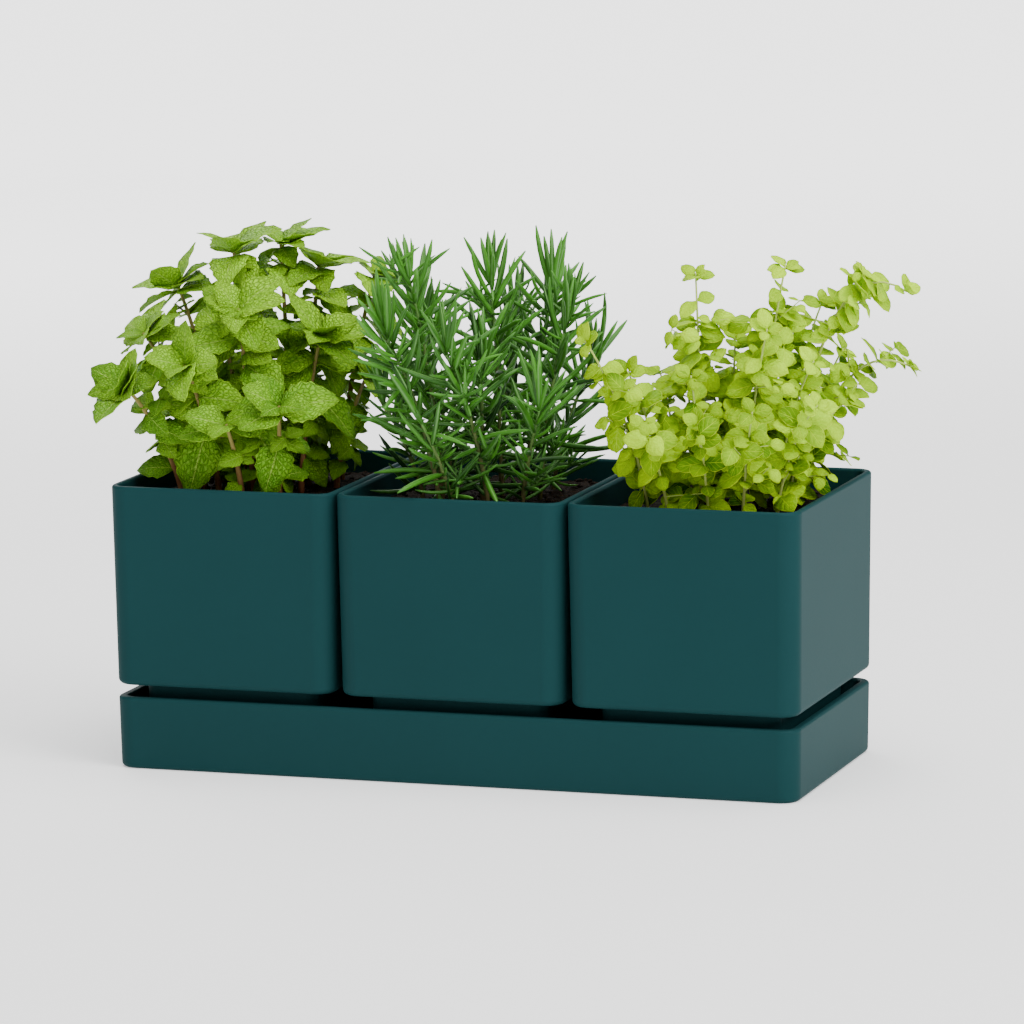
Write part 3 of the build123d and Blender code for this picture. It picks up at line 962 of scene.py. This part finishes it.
class Taken:
    # what already grows, kept as one array of boxes for a quick first look
    def __init__(self):
        self.clumps = []
        self.owners = []
        self.lows = numpy.empty((0, 3))
        self.highs = numpy.empty((0, 3))

    def add(self, clump, owner):
        self.clumps.append(clump)
        self.owners.append(owner)
        self.lows = numpy.vstack((self.lows, clump.low))
        self.highs = numpy.vstack((self.highs, clump.high))

    def isClear(self, clump, owner):
        room = growingRoom["leafClearance"]
        near = numpy.all((self.lows <= clump.high + room) & (self.highs >= clump.low - room), axis=1)
        return all(
            self.owners[place] == owner or standsClear(clump, self.clumps[place])
            for place in numpy.nonzero(near)[0]
        )


def staysInside(clump, herb):
    middle = numpy.array(((herb["pot"] - 1) * potPitch, 0, 0))
    return numpy.all(clump.low + middle > cadLow) and numpy.all(clump.high + middle < cadHigh)


def placeLeaves(herb, owner, places, taken, young):
    # each leaf at the longest length that leaves the other sprigs free
    placed = []
    for base, axes, length in places:
        for shorter in growingRoom["shorter"]:
            clump = leafClump(herb, base, axes, length * shorter)
            inside = fitsPot(clump, herb["pot"]) and (not young or staysInside(clump, herb))
            if inside and taken.isClear(clump, owner):
                taken.add(clump, owner)
                placed.append((base, axes, length * shorter, young))
                break
    return placed


def grow(herb):
    taken = Taken()
    for owner, stem in enumerate(herb["stems"]):
        for clump in stemClumps(herb, stem):
            taken.add(clump, owner)
    numbers = random.Random(herb["seed"])
    oldPlaces = [leafPlaces(herb, stem, numbers) for stem in herb["stems"]]
    leaves = [placeLeaves(herb, owner, places, taken, False) for owner, places in enumerate(oldPlaces)]
    shoots = [[] for _ in herb["stems"]]
    for owner, stem in enumerate(herb["stems"]):
        for start, end, places in shootPlaces(herb, stem, numbers):
            stalk = shootClump(start, end, herb["young"]["shootWidth"])
            if fitsPot(stalk, herb["pot"]) and staysInside(stalk, herb) and taken.isClear(stalk, owner):
                taken.add(stalk, owner)
                shoots[owner].append((start, end))
                leaves[owner] += placeLeaves(herb, owner, places, taken, True)
    for owner, stem in enumerate(herb["stems"]):
        leaves[owner] += placeLeaves(herb, owner, youngPlaces(herb, stem, numbers), taken, True)
    return leaves, shoots


# Leaf shapes, one leaf long, across X, along Y, face up
mintLeaf = {
    "rows": 12,
    "columns": 4,
    "stalk": 0.08,
    "power": 0.66,
    "blunt": 0.72,
    "tooth": 0.06,
    "fold": 0.22,
    "quilt": 0.018,
    "veins": 5,
    "slant": 0.30,
    "wave": 0.018,
    "thickness": 0.012,
    "curls": (-0.08, 0.0, 0.08, 0.16),
    "youngCurls": (-0.10, 0.02, 0.14),
}
oreganoLeaf = {
    "rows": 7,
    "columns": 4,
    "stalk": 0.12,
    "power": 0.80,
    "blunt": 0.62,
    "tooth": 0.0,
    "fold": 0.16,
    "quilt": 0.0,
    "veins": 0,
    "slant": 0.0,
    "wave": 0.014,
    "thickness": 0.018,
    "curls": (-0.06, 0.02, 0.10),
    "youngCurls": (-0.08, 0.02, 0.12),
}
needle = {
    "rows": 6,
    "columns": 6,
    "height": 0.90,
    "slimness": 0.95,
    "rootWidth": 0.45,
    "rootSwell": 3,
    "tipWidth": 0.05,
    "tipPower": 5,
    "seam": 0.0005,
    "curls": (-0.20, -0.05, 0.10, 0.25),
}
# what both broad leaves share
blade = {
    "leastWidth": 0.045,
    "pointWidth": 0.02,
    "toothPower": 6,
    "foldPower": 1.3,
    "puffRise": 3,
    "puffPower": 4,
    "puffFall": 4,
    "rippleTurn": 17,
    "rippleShift": 90,
}
# young leaves are many, so theirs have fewer faces
coarse = {"rows": 8, "columns": 2}


def leafGrid(shape):
    # a flat strip with its own UV, u across and v along
    bm = bmesh.new()
    bmesh.ops.create_grid(
        bm, x_segments=shape["columns"], y_segments=shape["rows"], size=0.5, calc_uvs=False
    )
    layer = bm.loops.layers.uv.new("leaf")
    for face in bm.faces:
        for loop in face.loops:
            loop[layer].uv = (loop.vert.co.x + 0.5, loop.vert.co.y + 0.5)
    return bm


def bladeMesh(name, herb, shape, curl):
    bm = leafGrid(shape)
    for vert in bm.verts:
        across = vert.co.x * 2
        along = vert.co.y + 0.5
        grown = max(0.0, (along - shape["stalk"]) / (1 - shape["stalk"]))
        width = blade["pointWidth"]
        if grown < 1:
            swell = math.sin(math.pi * grown ** shape["power"])
            width = max(blade["leastWidth"], swell ** shape["blunt"])
        outward = 1 if round(along * shape["rows"]) % 2 else -1
        tooth = 1 + shape["tooth"] * outward * abs(across) ** blade["toothPower"]
        half = herb["leafWidth"] / 2 * width * tooth
        veins = abs(math.sin(math.pi * shape["veins"] * (along - shape["slant"] * abs(across))))
        puff = shape["quilt"] * veins * min(1.0, blade["puffRise"] * abs(across))
        puff *= 1 - across ** blade["puffPower"]
        puff *= min(1.0, blade["puffFall"] * (1 - along))
        ripple = math.sin(along * blade["rippleTurn"] + curl * blade["rippleShift"] + across)
        height = shape["fold"] * half * abs(across) ** blade["foldPower"]
        height -= (herb["droop"] + curl) * along**2
        height += puff
        height += shape["wave"] * ripple * across**2
        vert.co = (across * half, along, height)
    bmesh.ops.solidify(bm, geom=bm.faces[:], thickness=shape["thickness"])
    bmesh.ops.recalc_face_normals(bm, faces=bm.faces[:])
    return finishedShape(name, bm)


def bladeShapes(herb, shape):
    name = herb["name"] + "_leaf_"
    old = [bladeMesh(f"{name}{curl}", herb, shape, curl) for curl in shape["curls"]]
    small = shape | coarse
    young = [bladeMesh(f"young_{name}{curl}", herb, small, curl) for curl in shape["youngCurls"]]
    return old, young


def needleMesh(name, herb, shape, curl):
    # a strip rolled round into a flat tube that narrows to its tip
    bm = leafGrid(shape)
    for vert in bm.verts:
        turn = vert.co.x * math.tau
        along = vert.co.y + 0.5
        width = shape["slimness"] * herb["leafWidth"] / 2
        width *= min(1.0, shape["rootWidth"] + shape["rootSwell"] * along)
        width *= max(shape["tipWidth"], 1 - along ** shape["tipPower"]) ** 0.5
        height = math.cos(turn) * width * shape["height"] - (herb["droop"] + curl) * along**2
        vert.co = (-math.sin(turn) * width, along, height)
    bmesh.ops.remove_doubles(bm, verts=bm.verts[:], dist=shape["seam"])
    bmesh.ops.holes_fill(bm, edges=[edge for edge in bm.edges if edge.is_boundary])
    bmesh.ops.recalc_face_normals(bm, faces=bm.faces[:])
    return finishedShape(name, bm)


def finishedShape(name, bm):
    for face in bm.faces:
        face.material_index = 1
        face.smooth = True
    mesh = bpy.data.meshes.new(name)
    bm.to_mesh(mesh)
    bm.free()
    return mesh


stemShape = {
    "sides": 8,
    "rings": 14,
    "reach": 0.01,
    "rootDepth": 0.006,
    "shootSides": 5,
}
# How light each leaf is: lighter up the plant and on small young leaves
leafTone = {
    "least": 0.10,
    "stemSpread": 0.15,
    "small": 0.40,
    "rise": 0.52,
    "shoot": 0.9,
}


def sweepStem(bm, herb, stem, toneLayer):
    # a ring of points carried up the stem's curve, narrowing to the tip
    made = bmesh.ops.create_circle(bm, segments=stemShape["sides"], radius=1.0, cap_ends=True)
    verts = made["verts"]
    edges = bm.edges[:]
    old = Matrix.Identity(4)
    rings = stemShape["rings"]
    for ring in range(rings + 1):
        share = ring / rings
        point = Vector(stemCurve(herb, stem, share))
        ahead = Vector(stemCurve(herb, stem, min(1.0, share + stemShape["reach"])))
        behind = Vector(stemCurve(herb, stem, max(0.0, share - stemShape["reach"])))
        turn = (ahead - behind).to_track_quat("Z", "X").to_matrix().to_4x4()
        if ring == 0:
            point.z -= stemShape["rootDepth"]
        half = (herb["stemWidth"] * (1 - share) + herb["stemTipWidth"] * share) / 2
        new = Matrix.Translation(point) @ turn @ Matrix.Scale(half, 4)
        if ring > 0:
            made = bmesh.ops.extrude_edge_only(bm, edges=edges)
            verts = vertsOf(made["geom"])
            edges = [part for part in made["geom"] if isinstance(part, bmesh.types.BMEdge)]
        bmesh.ops.transform(bm, matrix=new @ old.inverted(), verts=verts)
        for vert in verts:
            vert[toneLayer] = share
        old = new
    bmesh.ops.contextual_create(bm, geom=edges)
    for face in bm.faces:
        face.smooth = True


def addLeaf(bm, shape, base, axes, length, toneLayer, tone):
    before = len(bm.verts)
    bm.from_mesh(shape)
    bm.verts.ensure_lookup_table()
    verts = bm.verts[before:]
    along, sideways, face = axes
    turn = Matrix((sideways, along, face)).transposed().to_4x4()
    fit = Matrix.Translation(base) @ turn @ Matrix.Scale(length, 4)
    bmesh.ops.transform(bm, matrix=fit, verts=verts)
    for vert in verts:
        vert[toneLayer] = tone


def addShoot(bm, start, end, width, toneLayer):
    way = Vector(end) - Vector(start)
    turn = way.to_track_quat("Z", "X").to_matrix().to_4x4()
    made = bmesh.ops.create_cone(
        bm,
        cap_ends=True,
        segments=stemShape["shootSides"],
        radius1=width / 2,
        radius2=width / 3,
        depth=way.length,
        matrix=Matrix.Translation((Vector(start) + Vector(end)) / 2) @ turn,
    )
    for vert in made["verts"]:
        vert[toneLayer] = leafTone["shoot"]


def makeHerb(herb, leafShapes, look):
    leaves, shoots = grow(herb)
    name = herb["name"]
    materials = (stemSkin(name + "StemSkin", look), leafSkin(name + "LeafSkin", look))
    middle = Vector(((herb["pot"] - 1) * potPitch, 0, 0))
    numbers = random.Random(herb["seed"] + 1)
    for place, (stem, own) in enumerate(zip(herb["stems"], leaves)):
        bm = bmesh.new()
        toneLayer = bm.verts.layers.float.new("tone")
        bm.loops.layers.uv.new("leaf")
        sweepStem(bm, herb, stem, toneLayer)
        stemTone = leafTone["least"] + within(numbers, leafTone["stemSpread"])
        for base, axes, length, young in own:
            shape = numbers.choice(leafShapes[young])
            small = 1 - length / herb["leafLength"]
            rise = (base[2] - soilTop) / (rimTop - soilTop + herb["height"])
            tone = stemTone + leafTone["small"] * small + leafTone["rise"] * rise
            tone += within(numbers, herb["toneSpread"])
            addLeaf(bm, shape, base, axes, length, toneLayer, tone)
        # shoots come last: a cone's spare points would mix up the leaves' own
        for start, end in shoots[place]:
            addShoot(bm, start, end, herb["young"]["shootWidth"], toneLayer)
        bmesh.ops.translate(bm, vec=middle, verts=bm.verts[:])
        branch = meshObject(f"{name}_branch_{place + 1}", bm)
        for material in materials:
            branch.data.materials.append(material)
        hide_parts(f"{name}_sprig_{place + 1}")
        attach(branch, "pot_" + potSides[herb["pot"]])
    print(name, sum(len(own) for own in leaves), "leaves")


makeCamera(camera)
makeStudio()
print("camera and studio done")
plastic = planterPlastic(plasticLook)
for node in ("tray", "pot_left", "pot_middle", "pot_right"):
    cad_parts[node].data.materials.clear()
    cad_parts[node].data.materials.append(plastic)
print("plastic done")
soilMaterial = pottingSoil(soilLook)
for side in potSides:
    makeSoil(side, soilMaterial)
print("soil done")
needles = [needleMesh(f"rosemary_leaf_{curl}", rosemary, needle, curl) for curl in needle["curls"]]
makeHerb(mint, bladeShapes(mint, mintLeaf), mintLook)
makeHerb(rosemary, (needles, needles), rosemaryLook)
makeHerb(oregano, bladeShapes(oregano, oreganoLeaf), oreganoLook)
